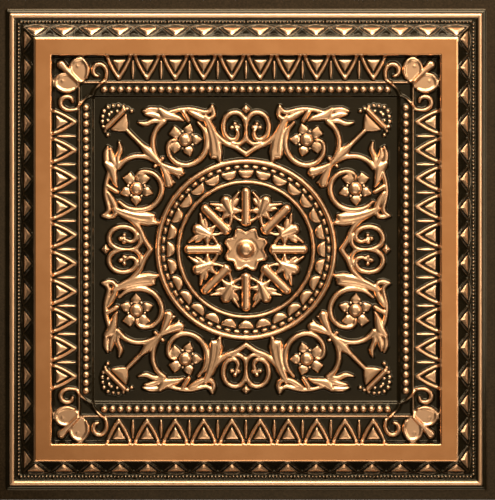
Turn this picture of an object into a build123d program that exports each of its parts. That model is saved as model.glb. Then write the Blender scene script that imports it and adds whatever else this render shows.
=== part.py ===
"""Pressed ceiling tile: one thin sheet formed into a stepped border, a beaded frame and a scrolled field.

Millimetres, +Z out of the face. The back plane that meets the ceiling is z = 0.
"""

import os
from math import hypot

from build123d import *

# Sheet and its outline
tile_side = 603.0
wall = 0.7
mould_depth = 4.0

# Border section, widths from the tile's edge towards its middle
flange_width = 12.5
lip_width = 3.5
rim_width = 7.5
rim_crown = 2.2
cove_width = 8.7
slope_width = 15.6
band_width = 19.6
band_fall = 2.6
dart_width = 28.9
line_width = 4.0
line_crown = 0.9
channel_width = 13.1
field_fall = 2.3

# Border section, heights over the flat of the flange
lip_height = 1.2
rim_height = 4.2
cove_height = 1.6
band_height = 13.0
dart_height = 4.0
line_height = 6.2
channel_height = 3.2

# Outer row of teeth on the slope of the border
tooth_count = 16
tooth_width = 25.0
tooth_margin = 0.8
tooth_point_margin = 2.8
tooth_rise = 2.4
tooth_taper = 35.0

# Inner row of chevrons with a pyramid inside each
chevron_count = 10
chevron_pitch = 34.0
chevron_width = 29.0
chevron_leg = 3.6
chevron_rise = 3.2
chevron_taper = 22.0
chevron_margin = 2.0
pyramid_width = 18.0
pyramid_length = 15.5
pyramid_margin = 3.0
pyramid_rise = 3.0
pyramid_taper = 45.0

# Row of beads round the field
bead_count = 36
bead_pitch = 9.73
bead_radius = 4.5
bead_sides = 4
bead_rise = 3.6
bead_taper = 32.0

# Medallion: two rings, with scallops between them
outer_ring_radius = 106.2
inner_ring_radius = 81.2
ring_width = 6.0
ring_crown = 1.8
ring_rise = 4.2
scallop_count = 28
scallop_radius = 95.0
scallop_width = 18.6
scallop_depth = 9.2
scallop_shoulder_width = 13.4
scallop_shoulder_depth = 6.4
scallop_rise = 3.4
scallop_taper = 20.0

# Rosette: bars, sprays of leaves, an eight-lobed flower and its button
bar_count = 8
bar_start = 31.0
bar_length = 43.5
bar_shoulder = 40.0
bar_width = 9.6
bar_end_width = 5.0
bar_rise = 6.0
bar_taper = 25.0
spray_foot = 44.5
club_length = 24.5
club_shoulder = 14.7
club_width = 10.0
club_rise = 5.4
club_foot = 4.0
frond_outline = ((0.0, -2.0), (3.1, -10.9), (8.5, -15.5), (15.5, -12.4), (9.3, -7.0))
frond_rise = 4.2
petal_count = 8
petal_radius = 9.0
petal_sides = 6
petal_circle = 17.5
petal_rise = 5.0
petal_taper = 30.0
button_radius = 10.8
button_seat = 4.0
button_rise = 9.6

# Scrolls in the field, drawn right of the upward middle line and mirrored into eight. They and the thistles
# are drawn for a field of this half side and scaled to the real one.
drawn_field_half = 183.2
vine_width = 4.8
vine_rise = 4.0
coil_centre = (70.9, 124.9)
coil_radius = 24.1
coil_start = 136.0
coil_sweep = 230.0
stem_foot = (104.1, 103.8)
stem_bend = (112.2, 130.4)
stem_top = (98.7, 153.8)
tail_top = (46.2, 156.9)
tail_bend = (27.5, 130.0)
tail_foot = (0.0, 114.7)
spiral_centre = (13.6, 146.6)
spiral_radius = 14.5
spiral_start = -50.0
spiral_sweep = 290.0
leaf_rise = 4.4
leaf_taper = 20.0
sheath_outline = ((103.5, 170.2), (82.4, 162.9), (75.7, 155.1), (99.3, 154.5))
upper_leaf_outline = ((124.0, 166.5), (100.5, 169.0), (100.5, 163.5))
middle_leaf_outline = ((121.6, 162.9), (101.7, 160.5), (104.0, 155.1))
lower_leaf_outline = ((129.4, 152.8), (106.5, 155.7), (107.7, 149.1))
long_leaf_outline = ((86.0, 165.4), (67.9, 170.2), (40.2, 173.2), (37.7, 159.3), (45.0, 154.5), (59.5, 158.0))
husk_outline = ((28.5, 113.0), (45.0, 116.0), (50.5, 155.0), (45.5, 156.5))
back_leaf_outlines = (upper_leaf_outline, middle_leaf_outline, lower_leaf_outline)
leaf_outlines = (sheath_outline, *back_leaf_outlines, long_leaf_outline, husk_outline)
blossom_centre = (73.2, 131.8)
blossom_petals = 5
blossom_circle = 13.4
blossom_petal = 7.4
blossom_petal_sides = 4
blossom_rise = 4.2
blossom_button = 6.9
blossom_button_sides = 6
blossom_button_rise = 5.8

# Thistle in each corner of the field, with distances along the diagonal
thistle_rise = 4.4
thistle_knot = 148.0
thistle_fork = 138.0
knot_leaf_end = 121.0
knot_leaf_spread = 28.0
knot_leaf_gap = 12.0
thistle_cup_start = 202.0
thistle_stem_width = 5.6
thistle_cup_middle = 209.0
thistle_cup_end = 219.0
thistle_cup_width = 28.0
thistle_head_start = 221.0
thistle_head_middle = 230.0
thistle_head_end = 242.0
thistle_head_width = 31.0
thistle_head_rise = 2.0

# Palmette in each corner of the border, drawn about the corner of the thin line: two lobes and a spear
palmette_rise = 4.6
palmette_taper = 20.0
lobe_offset = -1.1
lobe_near = 1.9
lobe_shoulder = 18.4
lobe_far = 25.9
lobe_width = 20.0
spear_start = 3.5
spear_middle = 18.5
spear_end = 29.5
spear_width = 12.0

# Section stations, from the edge inwards
half_side = tile_side / 2
lip_edge = half_side - flange_width
rim_edge = lip_edge - lip_width
cove_edge = rim_edge - rim_width
slope_foot = cove_edge - cove_width
band_edge = slope_foot - slope_width
band_inner = band_edge - band_width
dart_edge = band_inner - band_fall
line_edge = dart_edge - dart_width
channel_edge = line_edge - line_width
field_edge = channel_edge - channel_width
field_half = field_edge - field_fall

# Ornament is rooted halfway into the sheet that it stands on
root = wall / 2
field_plane = Plane.XY.offset(wall - root)
dart_plane = Plane.XY.offset(wall - root + dart_height)
channel_plane = Plane.XY.offset(wall - root + channel_height)

# One side of the mould: the border's section, mitred along the diagonals
with BuildPart() as side_mould:
    with BuildSketch(Plane.XZ):
        with BuildLine():
            Polyline(
                (0, -mould_depth),
                (half_side, -mould_depth),
                (half_side, wall),
                (lip_edge, wall),
                (lip_edge - lip_height, wall + lip_height),
                (rim_edge, wall + lip_height),
                (rim_edge - (rim_width - rim_crown) / 2, wall + rim_height),
                (cove_edge + (rim_width - rim_crown) / 2, wall + rim_height),
                (cove_edge, wall + cove_height),
                (slope_foot, wall + cove_height),
                (band_edge, wall + band_height),
                (band_inner, wall + band_height),
                (dart_edge, wall + dart_height),
                (line_edge, wall + dart_height),
                (line_edge - (line_width - line_crown) / 2, wall + line_height),
                (channel_edge + (line_width - line_crown) / 2, wall + line_height),
                (channel_edge, wall + channel_height),
                (field_edge, wall + channel_height),
                (field_half, wall),
                (0, wall),
                close=True,
            )
        make_face()
    extrude(amount=half_side, both=True)
    with BuildSketch(Plane.XY.offset(-mould_depth)):
        with BuildLine():
            Polyline((0, 0), (half_side, half_side), (half_side, -half_side), close=True)
        make_face()
    extrude(amount=mould_depth + wall + band_height, mode=Mode.INTERSECT)

# The whole mould, everything below the face
with BuildPart() as mould:
    with PolarLocations(0, 4):
        add(side_mould.part)

# Chevron with its point towards the beads: one leg, mirrored into the other, and the pyramid between them
chevron_base = dart_edge - tooth_margin
chevron_point = line_edge + chevron_margin
chevron_side = hypot(chevron_width / 2, chevron_base - chevron_point)
leg_across = chevron_leg * chevron_side / (chevron_base - chevron_point)
leg_along = chevron_leg * chevron_side / (chevron_width / 2)
with BuildPart() as chevron:
    with BuildSketch(dart_plane):
        Polygon(
            (chevron_base, chevron_width / 2),
            (chevron_point, 0),
            (chevron_point + leg_along, 0),
            (chevron_base, chevron_width / 2 - leg_across),
            align=None,
        )
    extrude(amount=chevron_rise + root, taper=chevron_taper)
    mirror(about=Plane.XZ)
    with BuildSketch(dart_plane):
        Polygon(
            (dart_edge - pyramid_margin, pyramid_width / 2),
            (dart_edge - pyramid_margin - pyramid_length, 0),
            (dart_edge - pyramid_margin, -pyramid_width / 2),
            align=None,
        )
    extrude(amount=pyramid_rise + root, taper=pyramid_taper)

# Rows of ornament for one side of the border
with BuildPart() as side_rows:
    # Teeth on the slope, points towards the band
    slope_rise = band_height - cove_height
    slope_length = hypot(slope_width, slope_rise)
    slope_plane = Plane(
        origin=((slope_foot + band_edge) / 2, 0, wall + (cove_height + band_height) / 2),
        x_dir=(0, 1, 0),
        z_dir=(slope_rise, 0, slope_width),
    )
    with BuildSketch(slope_plane.offset(-root)):
        with GridLocations(2 * slope_foot / tooth_count, 0, tooth_count, 1):
            Polygon(
                (-tooth_width / 2, tooth_margin - slope_length / 2),
                (tooth_width / 2, tooth_margin - slope_length / 2),
                (0, slope_length / 2 - tooth_point_margin),
                align=None,
            )
    extrude(amount=tooth_rise + root, taper=tooth_taper)

    # Chevrons along the floor inside the band
    with GridLocations(0, chevron_pitch, 1, chevron_count):
        add(chevron.part)

    # Beads in their channel
    with BuildSketch(channel_plane):
        with Locations(((channel_edge + field_edge) / 2, 0)):
            with GridLocations(0, bead_pitch, 1, bead_count):
                RegularPolygon(bead_radius, bead_sides)
    extrude(amount=bead_rise + root, taper=bead_taper)

# Scroll for one side of the field, its right half mirrored into the left
with BuildPart() as scroll:
    # Vines: a coil round the flower, the stem to it, the tail to the middle of the side, and the spiral there
    with BuildSketch(field_plane):
        with BuildLine():
            CenterArc(coil_centre, coil_radius, coil_start, coil_sweep)
        trace(line_width=vine_width)
        with BuildLine():
            ThreePointArc(stem_foot, stem_bend, stem_top)
        trace(line_width=vine_width)
        with BuildLine():
            ThreePointArc(tail_top, tail_bend, tail_foot)
        trace(line_width=vine_width)
        with BuildLine():
            CenterArc(spiral_centre, spiral_radius, spiral_start, spiral_sweep)
        trace(line_width=vine_width)
    extrude(amount=vine_rise + root)

    # Leaves: the sheath of the stem, three leaves behind it, the long leaf over the flower, the husk below it
    for outline in leaf_outlines:
        with BuildSketch(field_plane):
            Polygon(*outline, align=None)
        extrude(amount=leaf_rise + root, taper=leaf_taper)

    # Flower: five pointed petals and a higher button
    with BuildSketch(field_plane):
        with Locations(blossom_centre):
            with PolarLocations(blossom_circle, blossom_petals, start_angle=90):
                RegularPolygon(blossom_petal, blossom_petal_sides)
    extrude(amount=blossom_rise + root, taper=leaf_taper)
    with BuildSketch(field_plane):
        with Locations(blossom_centre):
            RegularPolygon(blossom_button, blossom_button_sides)
    extrude(amount=blossom_button_rise + root, taper=leaf_taper)
    mirror(about=Plane.YZ)
    scale(by=field_half / drawn_field_half)

# Palmette for one corner of the border, on the floor of the chevrons
with BuildPart() as palmette:
    with BuildSketch(dart_plane):
        Polygon(
            (lobe_offset + lobe_width / 2, lobe_near),
            (lobe_offset + lobe_width / 2, lobe_shoulder),
            (lobe_offset + lobe_width / 4, lobe_far),
            (lobe_offset - lobe_width / 4, lobe_far),
            (lobe_offset - lobe_width / 2, lobe_shoulder),
            (lobe_offset - lobe_width / 2, lobe_near),
            align=None,
        )
    extrude(amount=palmette_rise + root, taper=palmette_taper)
    mirror(about=Plane(origin=(0, 0, 0), z_dir=(1, -1, 0)))
    with BuildSketch(dart_plane):
        with PolarLocations(0, 1, start_angle=45):
            Polygon(
                (spear_start, -spear_width / 2),
                (spear_middle, -spear_width / 2),
                (spear_end, 0),
                (spear_middle, spear_width / 2),
                (spear_start, spear_width / 2),
                align=None,
            )
    extrude(amount=palmette_rise + root, taper=palmette_taper)

# Thistle along a diagonal: the two leaves of its knot, the stem, the cup and the low head
with BuildPart() as thistle:
    with BuildSketch(field_plane):
        Polygon(
            (thistle_knot, 0),
            (knot_leaf_end, knot_leaf_spread / 2),
            (knot_leaf_end, knot_leaf_gap / 2),
            (thistle_fork, 0),
            align=None,
        )
    extrude(amount=thistle_rise + root, taper=leaf_taper)
    mirror(about=Plane.XZ)
    with BuildSketch(field_plane):
        with Locations(((thistle_fork + thistle_cup_end) / 2, 0)):
            Rectangle(thistle_cup_end - thistle_fork, thistle_stem_width)
    extrude(amount=thistle_rise + root, taper=leaf_taper)
    with BuildSketch(field_plane):
        Polygon(
            (thistle_cup_start, -thistle_stem_width / 2),
            (thistle_cup_middle, -thistle_cup_width / 2),
            (thistle_cup_end, -thistle_cup_width / 2),
            (thistle_cup_end, thistle_cup_width / 2),
            (thistle_cup_middle, thistle_cup_width / 2),
            (thistle_cup_start, thistle_stem_width / 2),
            align=None,
        )
    extrude(amount=thistle_rise + root, taper=leaf_taper)
    with BuildSketch(field_plane):
        Polygon(
            (thistle_head_start, -thistle_head_width / 2),
            (thistle_head_middle, -thistle_head_width / 2),
            (thistle_head_end, -thistle_head_width / 4),
            (thistle_head_end, thistle_head_width / 4),
            (thistle_head_middle, thistle_head_width / 2),
            (thistle_head_start, thistle_head_width / 2),
            align=None,
        )
    extrude(amount=thistle_head_rise + root, taper=leaf_taper)
    scale(by=field_half / drawn_field_half)

# Spray between two bars of the rosette, from its foot outwards: a club and a frond on each side of it
with BuildPart() as spray:
    with BuildSketch(field_plane):
        Polygon(*frond_outline, align=None)
    extrude(amount=frond_rise + root, taper=leaf_taper)
    mirror(about=Plane.XZ)
    with BuildSketch(field_plane):
        Polygon(
            (0, -club_foot / 2),
            (club_shoulder, -club_width / 2),
            (club_length, -club_width / 3),
            (club_length, club_width / 3),
            (club_shoulder, club_width / 2),
            (0, club_foot / 2),
            align=None,
        )
    extrude(amount=club_rise + root, taper=leaf_taper)

# Ornament of the field and of the four corners
with BuildPart() as field_ornament:
    # Medallion rings
    for ring_radius in (outer_ring_radius, inner_ring_radius):
        with BuildSketch(Plane.XZ):
            with BuildLine():
                Polyline(
                    (ring_radius - ring_width / 2, wall - root),
                    (ring_radius - ring_width / 2, wall),
                    (ring_radius - ring_crown / 2, wall + ring_rise),
                    (ring_radius + ring_crown / 2, wall + ring_rise),
                    (ring_radius + ring_width / 2, wall),
                    (ring_radius + ring_width / 2, wall - root),
                    close=True,
                )
            make_face()
        revolve(axis=Axis.Z)

    # Scallops hanging inwards
    with BuildSketch(field_plane):
        with PolarLocations(scallop_radius, scallop_count):
            Polygon(
                (0, scallop_width / 2),
                (-scallop_shoulder_depth, scallop_shoulder_width / 2),
                (-scallop_depth, 0),
                (-scallop_shoulder_depth, -scallop_shoulder_width / 2),
                (0, -scallop_width / 2),
                align=None,
            )
    extrude(amount=scallop_rise + root, taper=scallop_taper)

    # Rosette: bars, a club with two fronds between each two bars, the flower and its button
    with BuildSketch(field_plane):
        with PolarLocations(bar_start, bar_count):
            Polygon(
                (0, -bar_width / 2),
                (bar_shoulder, -bar_width / 2),
                (bar_length, -bar_end_width / 2),
                (bar_length, bar_end_width / 2),
                (bar_shoulder, bar_width / 2),
                (0, bar_width / 2),
                align=None,
            )
    extrude(amount=bar_rise + root, taper=bar_taper)
    with PolarLocations(spray_foot, bar_count, start_angle=180 / bar_count):
        add(spray.part)
    for first_petal in (180 / petal_count, 540 / petal_count):
        with BuildSketch(field_plane):
            with PolarLocations(petal_circle, petal_count // 2, start_angle=first_petal):
                RegularPolygon(petal_radius, petal_sides)
        extrude(amount=petal_rise + root, taper=petal_taper)
    with BuildSketch(Plane.XZ):
        with BuildLine():
            Polyline(
                (0, wall + button_rise),
                (0, wall - root),
                (button_radius, wall - root),
                (button_radius, wall + button_seat),
            )
            TangentArc((0, wall + button_rise), (button_radius, wall + button_seat), tangent=(1, 0))
        make_face()
    revolve(axis=Axis.Z)

    # Thistles along the diagonals
    with PolarLocations(0, 4, start_angle=45):
        add(thistle.part)

    # Scrolls round the medallion, and the corner palmettes
    with PolarLocations(0, 4):
        add(scroll.part)
        with Locations((line_edge, line_edge)):
            add(palmette.part)

# The sheet is the skin of the mould, with the ornament standing on it
with BuildPart() as ceiling_tile:
    add(mould.part)
    add(mould.part.moved(Location((0, 0, -wall))), mode=Mode.SUBTRACT)
    add(field_ornament.part)
    with PolarLocations(0, 4):
        add(side_rows.part)

ceiling_tile.part.label = "ceiling_tile"
os.makedirs("parts", exist_ok=True)
export_step(ceiling_tile.part, "parts/ceiling_tile.step")
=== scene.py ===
import math

import bmesh
import bpy
import numpy as np
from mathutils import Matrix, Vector


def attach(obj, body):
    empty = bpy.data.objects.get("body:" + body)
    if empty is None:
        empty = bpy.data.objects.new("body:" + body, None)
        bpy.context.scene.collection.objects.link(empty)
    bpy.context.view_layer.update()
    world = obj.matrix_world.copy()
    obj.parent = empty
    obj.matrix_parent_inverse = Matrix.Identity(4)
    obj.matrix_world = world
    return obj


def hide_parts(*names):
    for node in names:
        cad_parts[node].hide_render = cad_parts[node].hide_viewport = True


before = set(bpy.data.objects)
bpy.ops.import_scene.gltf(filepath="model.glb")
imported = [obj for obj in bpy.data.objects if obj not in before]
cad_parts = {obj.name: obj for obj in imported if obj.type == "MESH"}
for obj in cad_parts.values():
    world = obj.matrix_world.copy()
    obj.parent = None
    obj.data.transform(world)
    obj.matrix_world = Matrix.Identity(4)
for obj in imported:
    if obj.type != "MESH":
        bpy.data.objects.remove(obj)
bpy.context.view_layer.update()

# THE MOULD
# The real tile is one thin plastic sheet drawn down over a carved mould by vacuum. The mould is kept here
# as heights in millimetres on a fine grid over a quarter of the tile, x and y out from its middle. Every
# ornament below raises those heights. The copper paint rubbed on afterwards is kept beside them, 0 to 1.
half = 301.5
wall = 0.7
cells = 503
step = half / cells
line = np.arange(cells + 1) * step
across, along = np.meshgrid(line, line, indexing="ij")
out = np.maximum(across, along)
mould = np.full(across.shape, wall)
paint = np.zeros(across.shape)


def ramp(low, high, values):
    share = np.clip((values - low) / (high - low), 0, 1)
    return share * share * (3 - 2 * share)


# BORDER SECTION
# From the field outwards: the bead channel, a thin raised line, the chevron row, the flat band, the long
# slope down to a cove, a round rim and the flat flange. One section, mitred at the corners of the mould.
band_height = 13.0

# Each station is a distance from the middle and a height over the flange.
stations = [
    (0, 0), (181.5, 0), (183.2, 0.3), (185.0, 2.8), (186.2, 3.2), (198.4, 3.2), (199.4, 5.0),
    (200.4, 6.2), (201.4, 5.8), (202.8, 4.0), (230.8, 4.0), (232.2, 9.0), (233.2, 12.2),
    (234.6, band_height), (252.4, band_height), (253.8, 12.4), (268.6, 1.9), (270.0, 1.6), (277.4, 1.6),
    (278.6, 2.8), (280.0, 3.8), (281.6, 4.2), (283.2, 3.7), (285.2, 1.4), (287.4, 1.2), (288.0, 0.9),
    (288.9, 0), (302, 0),
]
mould += np.interp(out, [s[0] for s in stations], [s[1] for s in stations])

# Paint on the band, on the round rim and on the thin line: how much, and where it starts, is full and ends.
painted_bands = [
    (1.0, 232.4, 234.0, 253.0, 255.5),
    (0.72, 278.4, 280.0, 283.4, 285.2),
    (0.42, 198.8, 199.8, 201.6, 202.6),
]
for amount, starts, full_from, full_to, ends in painted_bands:
    paint = np.maximum(paint, amount * ramp(starts, full_from, out) * ramp(ends, full_to, out))
flange_paint = 0.257
paint = np.maximum(paint, flange_paint * ramp(286.0, 290.0, out))
ground = mould.copy()


# TEETH AND TINY BEADS
# On the outer slope, a row of triangles points up to the band, each a raised outline round a small pyramid,
# with the slope between them standing as low faceted triangles. At its foot runs a row of very small beads.
# All of it is carved in the mould, and the paint is rubbed on what stands up.
full_rub = 0.85
shoulder = 0.7


def window(points, margin):
    """The part of the grid round some points."""
    low = np.clip(((np.min(points, 0) - margin) / step).astype(int), 0, cells)
    high = np.clip(((np.max(points, 0) + margin) / step).astype(int) + 2, 1, cells + 1)
    return slice(low[0], high[0]), slice(low[1], high[1])


def press(cut, relief, gilt, body=None):
    """Raise the mould over its ground by a relief, and paint the upper part of its body."""
    paint_starts, paint_full = 0.27, 0.56
    hidden = 0.05
    body = relief if body is None else body
    top = np.minimum(ground[cut] + relief, wall + band_height)
    covers = top >= mould[cut] - hidden
    mould[cut] = np.maximum(mould[cut], top)
    shade = gilt * ramp(paint_starts, paint_full, body / max(body.max(), 0.1))
    paint[cut] = np.where(covers & (relief > 0), np.maximum(paint[cut], shade), paint[cut])


def smooth_line(points, count):
    """A smooth curve through the points, as even samples with their share of its length."""
    points = np.array(points, float)
    ends = np.vstack([2 * points[0] - points[1], points, 2 * points[-1] - points[-2]])
    spans = len(ends) - 3
    runs = []
    for span in range(spans):
        t = np.linspace(0, 1, 24, endpoint=span == spans - 1)[:, None]
        a, b, c, d = ends[span:span + 4]
        bend, twist = 2 * a - 5 * b + 4 * c - d, 3 * b - a - 3 * c + d
        runs.append(0.5 * (2 * b + (c - a) * t + bend * t**2 + twist * t**3))
    curve = np.vstack(runs)
    length = np.concatenate([[0], np.cumsum(np.hypot(*np.diff(curve, axis=0).T))])
    where = np.linspace(0, length[-1], count)
    even = np.stack([np.interp(where, length, curve[:, k]) for k in (0, 1)], 1)
    return even, where / length[-1]


def ridge(points, widths, rise, gilt=full_rub, power=3.0, vein=0.0, count=40):
    """A raised strand along a curve, with widths that run evenly from its first end to its last."""
    foot_share, vein_width = 0.56, 0.25
    curve, shares = smooth_line(points, count)
    widths = np.atleast_1d(np.array(widths, float))
    half_widths = foot_share * np.interp(shares, np.linspace(0, 1, len(widths)), widths)
    cut = window(curve, half_widths.max() + 1)
    x, y = across[cut], along[cut]
    nearest = np.full(x.shape, 9.0)
    for i in range(count - 1):
        (ax, ay), (bx, by) = curve[i], curve[i + 1]
        dx, dy = bx - ax, by - ay
        t = np.clip(((x - ax) * dx + (y - ay) * dy) / (dx * dx + dy * dy + 1e-9), 0, 1)
        width = np.maximum(half_widths[i] + t * (half_widths[i + 1] - half_widths[i]), 0.05)
        nearest = np.minimum(nearest, np.hypot(x - ax - t * dx, y - ay - t * dy) / width)
    body = np.clip(1 - nearest**power, 0, 1) ** shoulder
    lift = body * (1 - vein * np.exp(-((nearest / vein_width) ** 2)))
    press(cut, rise * lift, gilt, body)


def dome(x, y, radius, rise, gilt=full_rub, power=2.4):
    """A round bead, bud or button."""
    cut = window(np.array([(x, y)]), radius + 1)
    away = np.hypot(across[cut] - x, along[cut] - y) / radius
    press(cut, rise * np.clip(1 - away**power, 0, 1) ** shoulder, gilt)


def facet(corners, rise, pitch, gilt=full_rub, side=0.0):
    """A hipped facet over a convex outline: a steep side, then a climb from each edge to the rise."""
    steep, paint_margin = 2.2, 1.8
    corners = np.array(corners, float)
    cut = window(corners, 1)
    x, y = across[cut], along[cut]
    middle = corners.mean(0)
    inside = np.full(x.shape, 1e9)
    for (ax, ay), (bx, by) in zip(corners, np.roll(corners, -1, 0)):
        nx, ny = by - ay, ax - bx
        size = math.hypot(nx, ny) or 1
        if (middle[0] - ax) * nx + (middle[1] - ay) * ny < 0:
            size = -size
        inside = np.minimum(inside, ((x - ax) * nx + (y - ay) * ny) / size)
    relief = np.clip(inside * steep, 0, side) + np.clip(inside * pitch, 0, rise - side)
    press(cut, relief, gilt, np.clip(inside / paint_margin, 0, 1))


tooth_pitch = 33.66
teeth = 8
faint_rub = 0.3
for tooth in range(teeth):
    x = (tooth + 0.5) * tooth_pitch
    ridge([(x - 15.2, 268.2), (x, 270.0), (x + 15.2, 268.2)], 2.2, 1.5, gilt=faint_rub)
    for side in (-1, 1):
        limb = [(x + side * 16.0, 267.6), (x + side * 9.4, 261.4), (x + side * 1.4, 256.4)]
        ridge(limb, 2.2, 1.6, gilt=faint_rub)
    facet([(x - 12.6, 267.6), (x + 12.6, 267.6), (x, 256.6)], 4.2, 0.5, side=1.4)
for gap in range(teeth):
    x = gap * tooth_pitch
    facet([(x - 10.8, 255.6), (x + 10.8, 255.6), (x, 265.6)], 1.2, 0.22, gilt=0.0)
tiny_bead_pitch = 4.33
for bead in range(63):
    dome((bead + 0.5) * tiny_bead_pitch, 273.6, 1.8, 2.4, gilt=0.42)

# CHEVRONS
# Inside the band, ten chevrons a side point to the beads, with a small pyramid in each and a thin dart
# between each two. They are raised in the same sheet, and the rubbed paint covers all of them.
chevron_pitch = 34.0
for chevron in range(5):
    x = (chevron + 0.5) * chevron_pitch
    for side in (-1, 1):
        ridge([(x + side * 14.2, 232.6), (x + side * 8.2, 218.9), (x, 205.2)], 3.8, 3.2)
    facet([(x - 9.2, 229.0), (x + 9.2, 229.0), (x, 213.0)], 3.0, 0.22, side=1.9)
    x = chevron * chevron_pitch
    ridge([(x, 227.0), (x, 216), (x, 205.2)], [1.2, 3.6, 1.2], 2.4)

# CORNER PALMETTES
# Each inner corner of the border has a palmette of two lobes rolled over at the rim, a spear between them
# that flares at its end, and a volute beside each lobe. The sheet follows them from behind.
ridge([(201, 218.9), (200.6, 212.9), (198.9, 206.3)], [18.0, 17.6, 11.0], 3.5, power=9.0)
rolled_rim = [
    (192.1, 206.3), (189.9, 213.6), (191.2, 221.5), (196.2, 228.1),
    (203, 228.5), (208.8, 224.4), (210.9, 217.7), (209.5, 211.9),
]
ridge(rolled_rim, [3.4, 4.4, 4.6, 4.8, 4.8, 4.4, 3.6, 2.4], 5.0, count=60)
dome(202.2, 220.1, 3.6, 4.2)
spear = [(202.5, 202.5), (210.2, 210.2), (216.7, 216.7), (221.8, 221.8)]
ridge(spear, [4.4, 5.0, 6.4, 10.4], 6.0, power=4.0)
volute = [
    (168, 204.7), (167.5, 213.6), (170.4, 220.1), (175.7, 222.9),
    (181.3, 221.1), (183.7, 215.5), (182, 210), (177.6, 208.3),
]
ridge(volute, [3.6, 4.2, 4.6, 5.0, 5.2, 5.2, 4.6, 3.2], 3.8, count=60)

# BEAD ROW
# Round the field runs a row of half-round beads in a shallow channel. At each corner a twig comes down from
# either volute across the channel to the field, and its lower end is nearly bare of paint.
bead_pitch = 9.73
for bead in range(18):
    dome((bead + 0.5) * bead_pitch, 192.3, 4.3, 3.6)
ridge([(168, 204.7), (174, 200.1), (178.8, 195.7)], [3.4, 3.2, 2.4], 2.8, gilt=0.7)
ridge([(178.8, 195.7), (183, 190.2), (185.4, 183.4)], [2.4, 3.4, 2.0], 2.4, gilt=0.25)

# SCROLLS
# The field carries eight mirrored scrolls. From a thistle in the corner a stem comes down to a knot, and
# from it a vine turns round a five-petalled flower, through a sheath of leaves, to a husk and on to the
# middle of the side. One scroll is drawn here, and the thistle on the diagonal.
thistle_cup = [
    (164.6, 143.9), (159.6, 142.2), (152.3, 141), (145.1, 141.2),
    (141.5, 144.4), (141, 152.3), (142.2, 159.6), (143.9, 164.6),
]
facet(thistle_cup, 4.2, 0.12, side=3.2)
thistle_head = [
    (168, 142.4), (173.4, 152.1), (172.8, 165.3), (166.8, 172),
    (154.1, 175.5), (142.7, 170.8), (143.3, 164.1), (164.4, 143.3),
]
facet(thistle_head, 1.8, 0.6, gilt=0.0)
ridge([(167.8, 146.5), (157.1, 157.1), (146.5, 167.5)], 5.2, 4.8)
frill = [
    (171.1, 166.3, 2.9), (172.6, 160, 2.7), (173.1, 153.8, 2.7), (171.9, 147.7, 2.6),
    (169.4, 142.4, 2.5), (166.5, 137.6, 2.6), (166.1, 170.9, 2.4),
]
for x, y, radius in frill:
    dome(x, y, radius, 3.0, gilt=0.62)
    dome(y, x, radius, 3.0, gilt=0.62)
for x, y in [(166.5, 155.2), (164.9, 162.2)]:
    dome(x, y, 2.0, 3.6)
    dome(y, x, 2.0, 3.6)

# The stem under the thistle, the knot with its buds, and a leaf that points to the medallion.
ridge([(142.7, 142.4), (133.6, 133.6), (124.6, 124.6)], [4.6, 5.0, 5.6], 4.0)
ridge([(125.8, 126.1), (119.2, 118.9), (111.9, 111.9), (104.1, 104.1)], [5.0, 10.0, 7.6, 5.0], 5.2)
dome(104.1, 103.8, 4.0, 5.2)
dome(100.2, 109.4, 2.6, 4.0)
ridge([(102.9, 103.1), (93.8, 98.3), (84.8, 94.2), (79.4, 93)], [4.4, 6.6, 9.6, 10.6], 4.8)
ridge([(83.6, 90.6), (80.6, 85.7)], [4.0, 2.0], 2.8, gilt=0.7)

# The vine up from the knot, three leaves, and the sheath with its collar.
vine_up = [
    (104.7, 105), (108.4, 112.3), (111.3, 120.7), (112.2, 130.4),
    (110.3, 139.4), (105.8, 147.3), (98.7, 153.8),
]
ridge(vine_up, [6.0, 6.0, 5.8, 5.8, 5.8, 6.0, 6.4], 4.6)
ridge([(99.3, 165.9), (107.7, 168.2), (116.1, 168.5), (124, 166.3)], [4.6, 6.0, 6.0, 2.4], 4.0)
ridge([(100.5, 156.9), (108.9, 161), (114.9, 162.4), (121.6, 162.9)], [5.6, 6.8, 6.6, 2.8], 4.0)
ridge([(101.7, 153.8), (111.3, 154.5), (120.4, 151.1), (129.4, 152.8)], [4.4, 5.8, 6.2, 2.4], 4.0)
sheath = [(103.6, 168.4), (96.8, 161.7), (88.4, 159.3), (81.2, 157.9), (75.1, 154.7)]
ridge(sheath, [6.0, 11.6, 9.6, 7.4, 2.0], 5.0)
ridge([(75.6, 165.6), (69.3, 155.3)], 5.6, 5.0)

# The vine along the beads, with the leaves where it turns down.
vine_along = [
    (92, 165.3), (80, 168.2), (67.9, 169.1), (57, 167), (48.6, 165.1), (43.8, 167.3), (40.6, 173.1),
]
ridge(vine_along, [4.6, 5.0, 5.0, 5.0, 5.2, 5.2, 3.0], 4.2)
turned_leaf = [(67.9, 165.9), (58.9, 161), (51, 157.4), (44.4, 156.9), (39.7, 160)]
ridge(turned_leaf, [4.6, 7.4, 7.4, 6.4, 5.0], 4.6)
ridge([(40.6, 171.4), (39, 165.3), (39.7, 159.3)], [4.6, 6.0, 5.0], 4.2)

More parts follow.
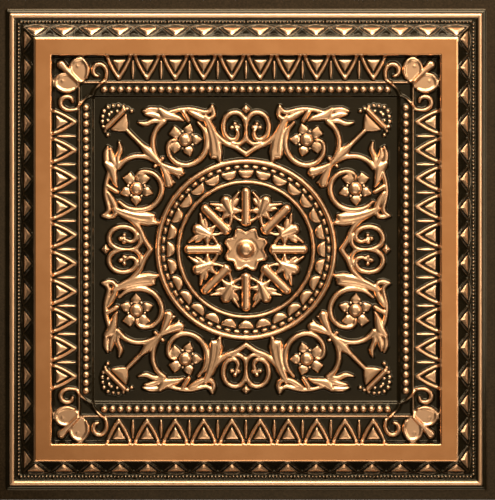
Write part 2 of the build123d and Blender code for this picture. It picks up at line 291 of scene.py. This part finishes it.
# The veined husk with two lobes at its mouth, the vine round the flower, and the one to the middle line.
husk = [(48.6, 158.6), (42.6, 146), (38.2, 131.6), (36.1, 117.1)]
ridge(husk, [7.0, 10.5, 14.0, 16.5], 5.4, power=2.6, vein=0.22)
ridge([(32.9, 118.3), (32, 107.9)], [9.0, 5.4], 5.0)
ridge([(39.9, 118.3), (40.9, 111.1)], [8.0, 4.4], 4.6)
vine_round = [
    (57.6, 152.7), (50.7, 144.2), (47.4, 134), (47.9, 122.5), (52.7, 111.7), (61.9, 104.1), (72.7, 101.2),
    (83.6, 104.1), (91.3, 111.8), (93.9, 120.7), (92.5, 128), (88.4, 131.6), (84.2, 131.3),
]
vine_round_widths = [3.6, 5.0, 6.4, 6.8, 6.6, 6.2, 6.2, 6.0, 5.8, 5.6, 5.2, 4.8, 3.0]
ridge(vine_round, vine_round_widths, 4.6, count=80)
vine_inwards = [(46.2, 156.9), (40.2, 144.8), (32.9, 135.2), (23.3, 127.2), (11.8, 122.4), (0, 114.7)]
ridge(vine_inwards, [5.0, 6.0, 6.2, 6.0, 5.8, 6.0], 4.6)

# FLOWERS IN THE SCROLLS
# Each scroll closes round a flower of five faceted petals about a button, three of them pointed and two
# squared off, with a small bead between each two. Petals and button are raised in the same sheet.
flower_x, flower_y = 73.2, 131.8
pointed = [(8.2, -3.6), (12, -7), (15.2, -5.8), (21.8, 0), (15.2, 5.8), (12, 7), (8.2, 3.6)]
squared = [(8.2, -3.6), (11.6, -6.4), (21, -6.6), (21, 6.6), (11.6, 6.4), (8.2, 3.6)]
bead_reach = 10.6
between_petals = 36


def about_flower(u, v, heading):
    """A point u out from the flower's middle along a heading and v to the side."""
    cos, sin = math.cos(math.radians(heading)), math.sin(math.radians(heading))
    return flower_x + u * cos - v * sin, flower_y + u * sin + v * cos


for heading, outline in ((108, pointed), (178, pointed), (253, pointed), (36, squared), (325, squared)):
    facet([about_flower(u, v, heading) for u, v in outline], 3.5, 0.16, side=2.7)
    dome(*about_flower(bead_reach, 0, heading + between_petals), 1.8, 2.8)
dome(flower_x, flower_y, 8.8, 6.2, power=3.0)

# SPIRALS AT THE MIDDLE OF EACH SIDE
# Two facing spirals, each ending in a bud of small lobes, with a small diamond over them. The spiral is
# drawn once, and its mirror image comes with the tile's other half.
spiral = [
    (17.8, 128.4), (8.8, 127), (2.1, 131.6), (-0.8, 141.2), (0.6, 153.3), (5.9, 162.2), (14.1, 165.1),
    (23.3, 160.3), (27.4, 149.7), (25.2, 138.3), (18.5, 132.3), (11.7, 133.5), (9.3, 139.5), (11.2, 143.6),
]
spiral_widths = [3.4, 4.8, 5.4, 5.6, 5.6, 5.6, 5.6, 5.6, 5.6, 5.6, 5.4, 5.4, 5.0, 4.0]
ridge(spiral, spiral_widths, 4.4, count=90)
dome(13.1, 151.1, 3.0, 4.2)
dome(9, 146.8, 3.0, 4.0)
dome(17.2, 146.5, 2.6, 3.2)
dome(12.4, 146.5, 2.4, 3.6)
facet([(0, 175), (6.4, 169), (0, 163), (-6.4, 169)], 4.2, 0.7, side=1.6)

# The scrolls, borders and corners are the same on both sides of the diagonal.
mould = np.maximum(mould, mould.T)
paint = np.maximum(paint, paint.T)

# MEDALLION
# The middle of the field is a round medallion: two half-round rings with a row of hanging scallops and
# oblong beads between them, carved in the mould like the rest.
far = np.hypot(across, along)
angle = np.degrees(np.arctan2(across, along))
everywhere = slice(None), slice(None)


def ring(radius, width, rise):
    from_crown = np.abs(far - radius) / (width / 2)
    press(everywhere, rise * np.clip(1 - from_crown**2, 0, 1) ** shoulder, full_rub)


def polar(radius, side, degrees):
    """A point at a radius from the tile's middle in a direction, and to its side."""
    turn = math.radians(degrees)
    cos, sin = math.cos(turn), math.sin(turn)
    return (radius * sin + side * cos, radius * cos - side * sin)


ring(106.2, 7.0, 4.4)
ring(81.2, 5.4, 4.0)
scallops = 28
for scallop in range(scallops // 4 + 1):
    turn = scallop * 360 / scallops
    for bead in (turn, turn + 180 / scallops):
        ridge([polar(99.6, -1.9, bead), polar(99.6, 1.9, bead)], 3.8, 3.0, count=4)
    bends = np.linspace(-1.57, 1.57, 11)
    hanging = [polar(96.0 - 11.2 * math.cos(bend), 10.2 * math.sin(bend), turn) for bend in bends]
    facet(hanging, 3.4, 0.12, side=2.8)

# ROSETTE
# Eight round-ended bars with a spray of leaves between each two, round a lobed flower with a button at its
# middle. It stands highest in the field, in the same formed sheet.
long_leaf = [(46.5, 0.8), (53.5, 4.8), (60.4, 8.2), (64.8, 15), (67, 18.4)]
leaves = [
    (long_leaf, [4.6, 5.0, 5.0, 4.6, 2.6], 4.6, 20),
    ([(54, 5.2), (56.2, 10), (59.4, 14.4)], [4.2, 5.8, 3.0], 4.4, 16),
    ([(46.5, 1), (48, 5.6), (45.8, 10.6)], [5.0, 7.8, 4.0], 4.6, 16),
    ([(45, 0.8), (39, 3.4), (33.4, 8.2)], [3.8, 3.6, 3.2], 3.6, 16),
]
for spray in (22.5, 67.5):
    middle_leaf = [polar(radius, 0, spray) for radius in (45.5, 55, 63)]
    ridge(middle_leaf, [3.4, 9.0, 12.4], 5.8, count=16, power=2.8)
    for side in (-1, 1):
        for leaf, widths, rise, count in leaves:
            ridge([polar(radius, aside * side, spray) for radius, aside in leaf], widths, rise, count=count)
    dome(*polar(45, 0, spray), 3.0, 5.0)
for bar in (0, 45, 90):
    ridge([polar(33, 0, bar), polar(69.2, 0, bar)], 11.0, 6.2, count=12, power=2.4)
    ridge([polar(31.4, -4.2, bar), polar(31.4, 4.2, bar)], 4.4, 4.4, count=6)
flower_foot = 1.8
edge = 24.0 - 2.9 * np.cos(np.radians(8 * angle)) - far
plate = 4.4 * ramp(-flower_foot, 0.2, edge)
lip = 1.3 * np.exp(-(((edge - 1.0) / 1.3) ** 2))
groove = 1.0 * np.exp(-(((far - 12.6) / 1.4) ** 2))
press(everywhere, np.where(edge > -flower_foot, plate + lip - groove, 0), full_rub)
button = 11.0
press(everywhere, 9.6 * np.clip(1 - (far / button) ** 2.6, 0, 1) ** 0.55 * (far < button), full_rub)


# SHEET
# The sheet as it comes off the mould, its edge then cut square: the face with a fillet at the foot of every
# ornament, the softer hollow back a wall below it, and the cut edge between them.
def shifted(field, axis, reach):
    """The field moved along an axis by each whole step up to the reach, mirrored at the middle lines."""
    padded = np.pad(field, [(reach, reach) if a == axis else (0, 0) for a in (0, 1)], mode="reflect")
    return [np.take(padded, np.arange(i, i + cells + 1), axis=axis) for i in range(2 * reach + 1)]


def soften(field, reach):
    """A small even blur."""
    count = int(3 * reach / step) + 1
    weights = np.exp(-0.5 * (np.arange(-count, count + 1) * step / reach) ** 2)
    weights /= weights.sum()
    for axis in (0, 1):
        field = sum(w * moved for w, moved in zip(weights, shifted(field, axis, count)))
    return field


mould = np.maximum(mould, soften(mould, 1.0))
face = soften(mould, 0.4)
paint = soften(paint, 0.35)
low = face.copy()
for axis in (0, 1):
    low = np.min(shifted(low, axis, 3), axis=0)
back = np.maximum(soften(low, 0.9) - wall, 0)


def thin_out(field, target, name):
    """The quarter as a mesh with most triangles where the relief turns: points in mm and triangles."""
    snap = 0.08
    count = cells + 1
    mesh = bpy.data.meshes.new(name)
    index = np.arange(count * count).reshape(count, count)
    a, b, c, d = index[:-1, :-1], index[1:, :-1], index[1:, 1:], index[:-1, 1:]
    flat_one = np.abs(field[:-1, :-1] - field[1:, 1:]) < np.abs(field[1:, :-1] - field[:-1, 1:])
    first = np.where(flat_one[..., None], np.stack([a, b, c], -1), np.stack([a, b, d], -1))
    second = np.where(flat_one[..., None], np.stack([a, c, d], -1), np.stack([b, c, d], -1))
    triangles = np.concatenate([first.reshape(-1, 3), second.reshape(-1, 3)])
    points = np.stack([across, along, field], -1).reshape(-1, 3)
    mesh.vertices.add(len(points))
    mesh.vertices.foreach_set("co", points.ravel().astype(np.float32))
    mesh.loops.add(triangles.size)
    mesh.loops.foreach_set("vertex_index", triangles.ravel().astype(np.int32))
    mesh.polygons.add(len(triangles))
    mesh.polygons.foreach_set("loop_start", np.arange(0, triangles.size, 3, dtype=np.int32))
    mesh.update(calc_edges=True)
    holder = bpy.data.objects.new(name, mesh)
    bpy.context.collection.objects.link(holder)
    thinner = holder.modifiers.new("thin", "DECIMATE")
    thinner.ratio = target / len(triangles)
    thinner.use_collapse_triangulate = True
    thinned = holder.evaluated_get(bpy.context.evaluated_depsgraph_get())
    thin = bpy.data.meshes.new_from_object(thinned)
    found = np.empty(len(thin.vertices) * 3, np.float32)
    thin.vertices.foreach_get("co", found)
    found = found.reshape(-1, 3).astype(float)
    corners = np.empty(len(thin.loops), np.int32)
    thin.loops.foreach_get("vertex_index", corners)
    bpy.data.objects.remove(holder)
    bpy.data.meshes.remove(mesh)
    bpy.data.meshes.remove(thin)
    for k in (0, 1):
        found[:, k] = np.where(np.abs(found[:, k]) < snap, 0, found[:, k])
        found[:, k] = np.where(found[:, k] > half - snap, half, found[:, k])
    return found, corners.reshape(-1, 3)


def four_quarters(points, triangles):
    """A quarter and its mirror images, welded along the middle lines."""
    welds_per_mm = 500
    every, faces = [], []
    for i, (sx, sy) in enumerate([(1, 1), (-1, 1), (-1, -1), (1, -1)]):
        faces.append((triangles if sx * sy > 0 else triangles[:, ::-1]) + i * len(points))
        every.append(points * (sx, sy, 1))
    every, faces = np.vstack(every), np.vstack(faces)
    keys = np.round(every * welds_per_mm).astype(np.int64)
    _, first, same = np.unique(keys, axis=0, return_index=True, return_inverse=True)
    faces = same.reshape(-1)[faces]
    a, b, c = faces.T
    return every[first], faces[(a != b) & (b != c) & (c != a)]


def sample(field, places):
    """A field's values at points of the tile, in any quarter."""
    spot = np.clip(np.abs(places[:, :2]) / step, 0, cells - 1e-6)
    corner = spot.astype(int)
    (i, j), (u, v) = corner.T, (spot - corner).T
    near = field[i, j] * (1 - u) + field[i + 1, j] * u
    beyond = field[i, j + 1] * (1 - u) + field[i + 1, j + 1] * u
    return near * (1 - v) + beyond * v


face_points, face_triangles = four_quarters(*thin_out(face, 43000, "face_quarter"))
back_points, back_triangles = four_quarters(*thin_out(back, 4500, "back_quarter"))
points = np.vstack([face_points, back_points])
triangles = np.vstack([face_triangles, back_triangles[:, ::-1] + len(face_points)])
mesh = bpy.data.meshes.new("formed_sheet")
mesh.from_pydata((points / 1000).tolist(), [], triangles.tolist())
rub = mesh.attributes.new("rub", "FLOAT", "POINT")
rub.data.foreach_set("value", sample(paint, points).astype(np.float32))
material_index = np.zeros(len(triangles), np.int32)
material_index[len(face_triangles):] = 1
mesh.polygons.foreach_set("material_index", material_index)
shell = bmesh.new()
shell.from_mesh(mesh)
rims = [edge for edge in shell.edges if edge.is_boundary]
cut_edge = bmesh.ops.bridge_loops(shell, edges=rims)
for side_face in cut_edge["faces"]:
    side_face.material_index = 1
for any_face in shell.faces:
    any_face.smooth = True
shell.to_mesh(mesh)
shell.free()


# Shading follows the fine heights. A corner of a long triangle takes their direction well inside it, so
# that the plain band stays plane right up to the bends at its edges.
def upright(heights, places, turned):
    """The surface's direction at points of the tile, from its heights."""
    found = np.full((len(places), 3), float(turned))
    for axis, slope in enumerate(np.gradient(heights, step)):
        found[:, axis] = -sample(slope, places) * np.sign(places[:, axis]) * turned
    return found / np.linalg.norm(found, axis=1)[:, None]


long_side, pulled_in = 5.0, 0.35
count = len(mesh.polygons)
begins, corner_counts, facing = np.zeros(count, int), np.zeros(count, int), np.zeros(count * 3)
mesh.polygons.foreach_get("loop_start", begins)
mesh.polygons.foreach_get("loop_total", corner_counts)
mesh.polygons.foreach_get("normal", facing)
owners = np.zeros(len(mesh.loops), int)
mesh.loops.foreach_get("vertex_index", owners)
normals = np.repeat(facing.reshape(-1, 3), corner_counts, axis=0)
loops = begins[corner_counts == 3][:, None] + np.arange(3)
in_face = (owners[loops] < len(face_points)).all(axis=1)
in_back = (owners[loops] >= len(face_points)).all(axis=1)
for heights, turned, some in ((face, 1, loops[in_face]), (back, -1, loops[in_back])):
    three = points[owners[some]]
    longest = np.linalg.norm(three - np.roll(three, 1, axis=1), axis=2).max(axis=1)
    inwards = np.where(longest > long_side, pulled_in, 0.0)[:, None, None]
    three = three + (three.mean(axis=1, keepdims=True) - three) * inwards
    normals[some.ravel()] = upright(heights, three.reshape(-1, 3), turned)
mesh.normals_split_custom_set(normals.tolist())
tile = bpy.data.objects.new("formed_sheet", mesh)
bpy.context.collection.objects.link(tile)


# FINISH
# Dark brown lacquered plastic with satin copper paint rubbed over whatever stands up, thin at the edges of
# the relief and a little uneven all over. The copper on the raised ornaments and the rim is paler than on
# the band, partly thinner paint and partly a painted highlight, and the lacquer's reflections carry a
# painted warm tint. The back is bare dark plastic.
class Link:
    """A node's output that takes part in arithmetic."""

    def __init__(self, tree, socket):
        self.tree, self.socket = tree, socket

    def node(self, kind, settings=None, output=0, **inputs):
        """A new node. An input is named by its label, or by the letter i and its number."""
        made = self.tree.nodes.new(kind)
        for key, value in (settings or {}).items():
            setattr(made, key, value)
        for key, value in inputs.items():
            numbered = key[0] == "i" and key[1:].isdigit()
            slot = made.inputs[int(key[1:]) if numbered else key.replace("_", " ")]
            if isinstance(value, Link):
                self.tree.links.new(value.socket, slot)
            else:
                slot.default_value = value
        return Link(self.tree, made.outputs[output])

    def math(self, operation, first, second):
        return self.node("ShaderNodeMath", {"operation": operation}, i0=first, i1=second)

    def __add__(self, other):
        return self.math("ADD", self, other)

    def __sub__(self, other):
        return self.math("SUBTRACT", self, other)

    def __rsub__(self, other):
        return self.math("SUBTRACT", other, self)

    def __mul__(self, other):
        return self.math("MULTIPLY", self, other)

    __radd__, __rmul__ = __add__, __mul__

    def step_between(self, low, high):
        smooth = {"interpolation_type": "SMOOTHSTEP"}
        return self.node("ShaderNodeMapRange", smooth, Value=self, From_Min=low, From_Max=high)

    def mix(self, first, second):
        return self.node("ShaderNodeMix", {"data_type": "RGBA"}, output=2, Factor=self, i6=first, i7=second)

    def noise(self, scale, detail=3.0):
        return self.node("ShaderNodeTexNoise", Vector=self, Scale=scale, Detail=detail, Roughness=0.55)


finish = bpy.data.materials.new("antiqued_copper")
finish.use_nodes = True
tree = finish.node_tree
tree.nodes.remove(tree.nodes["Principled BSDF"])
start = Link(tree, None)
place = start.node("ShaderNodeTexCoord", output=3)
rub_mask = start.node("ShaderNodeAttribute", {"attribute_name": "rub"}, output=2)
fine, broad, grain = place.noise(420.0), place.noise(30.0), place.noise(1500.0, 2.0)
bump = start.node("ShaderNodeBump", Strength=0.06, Distance=0.0003, Height=fine * 0.8 + grain * 0.2)
covered = (rub_mask + (fine - 0.5) * 0.08).step_between(0.2, 0.7)
flat = rub_mask.step_between(0.9, 0.98)
patches = broad.step_between(0.35, 0.65)
full = patches.mix((0.80, 0.30, 0.085, 1), (0.86, 0.335, 0.10, 1))
# The paler copper of the ornaments and rim is partly thinner paint and partly a painted highlight: it gives
# them the cream highlights that the band's deeper copper does not get.
thin = patches.mix((0.92, 0.47, 0.205, 1), (0.98, 0.51, 0.23, 1))
dark = patches.mix((0.007, 0.0042, 0.0014, 1), (0.010, 0.006, 0.002, 1))
uneven = (fine - 0.5) * 0.02
copper = start.node(
    "ShaderNodeBsdfPrincipled", Base_Color=flat.mix(thin, full), Metallic=0.95,
    Roughness=0.33 - flat * 0.05 + uneven, Normal=bump,
    Coat_Weight=0.22, Coat_IOR=1.48, Coat_Roughness=0.2,
)
# The amber specular tint is a painted reflection: it warms the lacquer's reflections of the neutral lamps,
# as if warm surroundings were mirrored in it.
lacquer = start.node(
    "ShaderNodeBsdfPrincipled", Base_Color=dark, Roughness=0.17 + uneven, Normal=bump,
    Specular_IOR_Level=0.32, Specular_Tint=(1.0, 0.68, 0.28, 1),
    Coat_Weight=0.17, Coat_IOR=1.48, Coat_Roughness=0.14,
)
both = start.node("ShaderNodeMixShader", i0=covered, i1=lacquer, i2=copper)
tree.links.new(both.socket, tree.nodes["Material Output"].inputs["Surface"])

bare = bpy.data.materials.new("bare_back")
bare.use_nodes = True
tree = bare.node_tree
shader = tree.nodes["Principled BSDF"]
start = Link(tree, None)
place = start.node("ShaderNodeTexCoord", output=3)
mottle = place.noise(60.0)
brown = mottle.step_between(0.3, 0.7).mix((0.03, 0.023, 0.017, 1), (0.045, 0.034, 0.026, 1))
pitted = start.node("ShaderNodeBump", Strength=0.2, Distance=0.0004, Height=place.noise(900.0))
tree.links.new(brown.socket, shader.inputs["Base Color"])
tree.links.new((0.5 + mottle * 0.12).socket, shader.inputs["Roughness"])
tree.links.new(pitted.socket, shader.inputs["Normal"])

mesh.materials.append(finish)
mesh.materials.append(bare)
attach(tile, "root")
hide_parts("ceiling_tile")

# STUDIO
# A pale floor under the tile, a broad weak light over it, a long soft light and a low strip beyond its top
# edge, and weaker ones opposite and on the right.
floor_mesh = bpy.data.meshes.new("floor")
floor_mesh.from_pydata([(-4, -4, 0), (4, -4, 0), (4, 4, 0), (-4, 4, 0)], [], [(0, 1, 2, 3)])
floor = bpy.data.objects.new("floor", floor_mesh)
bpy.context.collection.objects.link(floor)
pale = bpy.data.materials.new("pale_floor")
pale.use_nodes = True
pale_shader = pale.node_tree.nodes["Principled BSDF"]
pale_shader.inputs["Base Color"].default_value = (0.72, 0.71, 0.69, 1)
pale_shader.inputs["Roughness"].default_value = 0.8
floor_mesh.materials.append(pale)

world = bpy.data.worlds.new("studio")
world.use_nodes = True
background = world.node_tree.nodes["Background"]
background.inputs["Color"].default_value = (0.55, 0.55, 0.57, 1)
background.inputs["Strength"].default_value = 0.03
bpy.context.scene.world = world


def softbox(name, place, width, height, power):
    """A soft light that faces the middle of the tile."""
    lamp = bpy.data.lights.new(name, "AREA")
    lamp.shape, lamp.size, lamp.size_y, lamp.energy = "RECTANGLE", width, height, power
    holder = bpy.data.objects.new(name, lamp)
    bpy.context.collection.objects.link(holder)
    holder.location = place
    holder.rotation_euler = (-Vector(place)).to_track_quat("-Z", "Y").to_euler()


softbox("over_light", (0.22, 0.16, 3.4), 2.1, 2.1, 7.7)
softbox("top_light", (0.3, 1.8, 1.8), 2.4, 0.8, 76)
softbox("low_light", (0, -1.8, 1.9), 1.8, 0.8, 12)
softbox("horizon_light", (0.2, 3.2, 1.15), 3.4, 0.5, 44)
softbox("right_light", (1.9, 0.3, 1.7), 1.2, 0.7, 14)

# CAMERA
# Straight over the face, as the photograph looks at it, and framed to the tile's edges at the mean height
# of its relief.
camera_height, mean_relief = 2.6, 0.004
framed_side = 0.6015
sensor = 24.0
camera_data = bpy.data.cameras.new("camera")
camera = bpy.data.objects.new("camera", camera_data)
bpy.context.collection.objects.link(camera)
camera.location = (0.0018, -0.0006, camera_height)
camera_data.sensor_fit = "VERTICAL"
camera_data.sensor_height = sensor
camera_data.lens = sensor * (camera_height - mean_relief) / framed_side
camera_data.dof.use_dof = False
bpy.context.scene.camera = camera
bpy.context.scene.view_settings.view_transform = "Standard"
